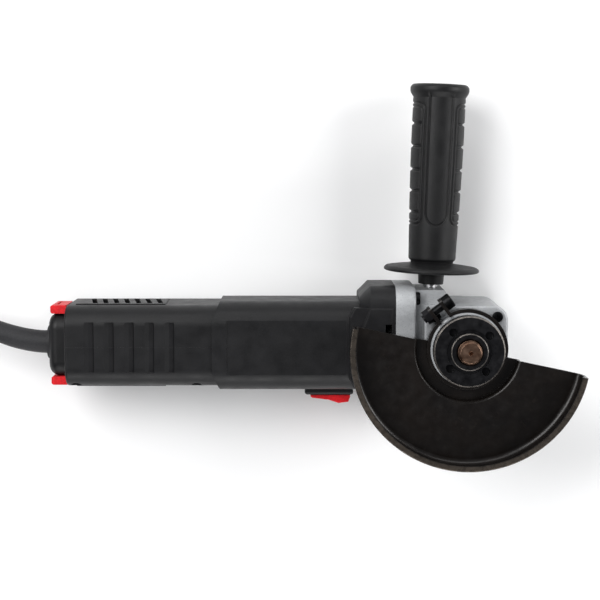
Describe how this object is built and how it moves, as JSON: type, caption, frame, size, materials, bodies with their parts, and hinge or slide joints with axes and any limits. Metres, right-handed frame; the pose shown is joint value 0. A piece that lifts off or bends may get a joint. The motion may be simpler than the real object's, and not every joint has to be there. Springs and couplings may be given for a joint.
{
  "type": "angle grinder",
  "caption": "Corded angle grinder with half guard, flange nut, side handle, slide switch, bevel gear drive, motor and mains cord, lying on its back.",
  "frame": {"origin": "on the spindle axis at the gear case's flat back face, which the tool rests on", "axes": "+Z along the spindle towards its nose, +X along the motor axis towards the gear head, +Y towards the side handle"},
  "size_m": [0.4917, 0.285, 0.086],
  "materials": {
    "black_plastic": "fine textured glass-filled nylon",
    "handle_plastic": "textured moulded plastic",
    "red_plastic": "satin moulded plastic",
    "cast_aluminium": "fine shot-blasted die casting",
    "guard_steel": "dark bronze-black satin coating, worn at the rim",
    "dark_steel": "blackened steel",
    "dark_screws": "black oxide steel",
    "bright_steel": "turned steel",
    "nose_steel": "bare steel with a brownish tint",
    "spring_steel": "drawn wire",
    "nickel": "nickel plate",
    "lamination_steel": "stacked laminations",
    "copper": "lacquered copper wire",
    "bronze": "sintered bronze or sheet brass",
    "felt": "pressed felt",
    "black_rubber": "moulded rubber",
    "cord_rubber": "rubber-sheathed flexible cable",
    "carbon": "pressed carbon"
  },
  "bodies": {
    "housing": {"gear_case": "cast_aluminium", "bearing_flange": "cast_aluminium", "flange_screws": "dark_screws", "gear_case_screws": "dark_screws", "spindle_bearing": "bright_steel", "spindle_bush": "bronze", "dust_seal": "felt", "lock_spring": "spring_steel", "front_bearing": "bright_steel", "rear_bearing": "bright_steel", "rear_bearing_boot": "black_rubber", "fan_baffle": "black_plastic", "stator_core": "lamination_steel", "field_coil_upper": "copper", "field_coil_lower": "copper", "brush_holder_upper": "bronze", "brush_holder_lower": "bronze", "brush_spring_upper": "spring_steel", "brush_spring_lower": "spring_steel", "motor_housing": "black_plastic", "rear_shell_left": "black_plastic", "rear_shell_right": "black_plastic", "rear_shell_screws": "dark_screws", "intake_grille_left": "black_plastic", "intake_grille_right": "black_plastic", "end_cap": "black_plastic", "filter_latch_left": "red_plastic", "filter_latch_right": "red_plastic", "switch_unit": "black_plastic", "cord_sleeve": "black_rubber", "cord_clamp": "black_plastic", "cord_clamp_screws": "bright_steel", "power_cord": "cord_rubber", "cord_coil": "cord_rubber", "plug_body": "black_rubber", "plug_pins": "nickel"},
    "armature": {"armature_shaft": "bright_steel", "armature_core": "lamination_steel", "armature_windings": "copper", "commutator": "copper", "fan": "black_plastic", "pinion": "dark_steel", "pinion_nut": "bright_steel"},
    "spindle": {"spindle": "nose_steel", "bevel_gear": "dark_steel", "spindle_circlip": "spring_steel", "inner_flange": "bright_steel"},
    "locknut": {"locknut": "dark_steel"},
    "guard": {"guard_shell": "guard_steel", "guard_band": "guard_steel", "clamp_nut": "dark_steel"},
    "clamp_screw": {"clamp_screw": "dark_screws"},
    "side_handle": {"handle_grip": "handle_plastic", "handle_stud": "bright_steel"},
    "switch": {"switch_slider": "red_plastic", "switch_rod": "black_plastic"},
    "lock_button": {"lock_button": "black_plastic"},
    "brush_upper": {"carbon_brush_upper": "carbon"},
    "brush_lower": {"carbon_brush_lower": "carbon"}
  },
  "joints": [
    {"name": "armature_spin", "type": "hinge", "parent": "housing", "child": "armature", "pos_m": [-0.08, 0, 0.033], "axis": [1, 0, 0], "continuous": true},
    {"name": "spindle_spin", "type": "hinge", "parent": "housing", "child": "spindle", "pos_m": [0, 0, 0.05], "axis": [0, 0, 1], "continuous": true},
    {"name": "locknut_turn", "type": "hinge", "parent": "spindle", "child": "locknut", "pos_m": [0, 0, 0.078], "axis": [0, 0, 1], "range_deg": [0, 720]},
    {"name": "guard_turn", "type": "hinge", "parent": "housing", "child": "guard", "pos_m": [0, 0, 0.065], "axis": [0, 0, 1], "range_deg": [-180, 0]},
    {"name": "clamp_screw_turn", "type": "hinge", "parent": "guard", "child": "clamp_screw", "pos_m": [-0.01781, 0.02364, 0.0672], "axis": [0.7986, 0.6018, 0], "range_deg": [0, 720]},
    {"name": "handle_turn", "type": "hinge", "parent": "housing", "child": "side_handle", "pos_m": [-0.0191, 0.0337, 0.033], "axis": [0.0384, 0.9993, 0], "range_deg": [0, 720]},
    {"name": "switch_slide", "type": "slide", "parent": "housing", "child": "switch", "axis": [1, 0, 0], "range_m": [0, 0.004]},
    {"name": "lock_button_press", "type": "slide", "parent": "housing", "child": "lock_button", "axis": [0, 0, 1], "range_m": [0, 0.003], "stiffness_N_per_m": 500, "springref_m": -0.002, "deforming": ["lock_spring"]},
    {"name": "brush_upper_lift", "type": "slide", "parent": "housing", "child": "brush_upper", "axis": [0, 0, 1], "range_m": [0, 0.003], "stiffness_N_per_m": 400, "springref_m": -0.004, "deforming": ["brush_spring_upper"]},
    {"name": "brush_lower_lift", "type": "slide", "parent": "housing", "child": "brush_lower", "axis": [0, 0, -1], "range_m": [0, 0.003], "stiffness_N_per_m": 400, "springref_m": -0.004, "deforming": ["brush_spring_lower"]}
  ],
  "couplings": [
    {"joint": "spindle_spin", "follows": "armature_spin", "ratio": 0.32432}
  ]
}
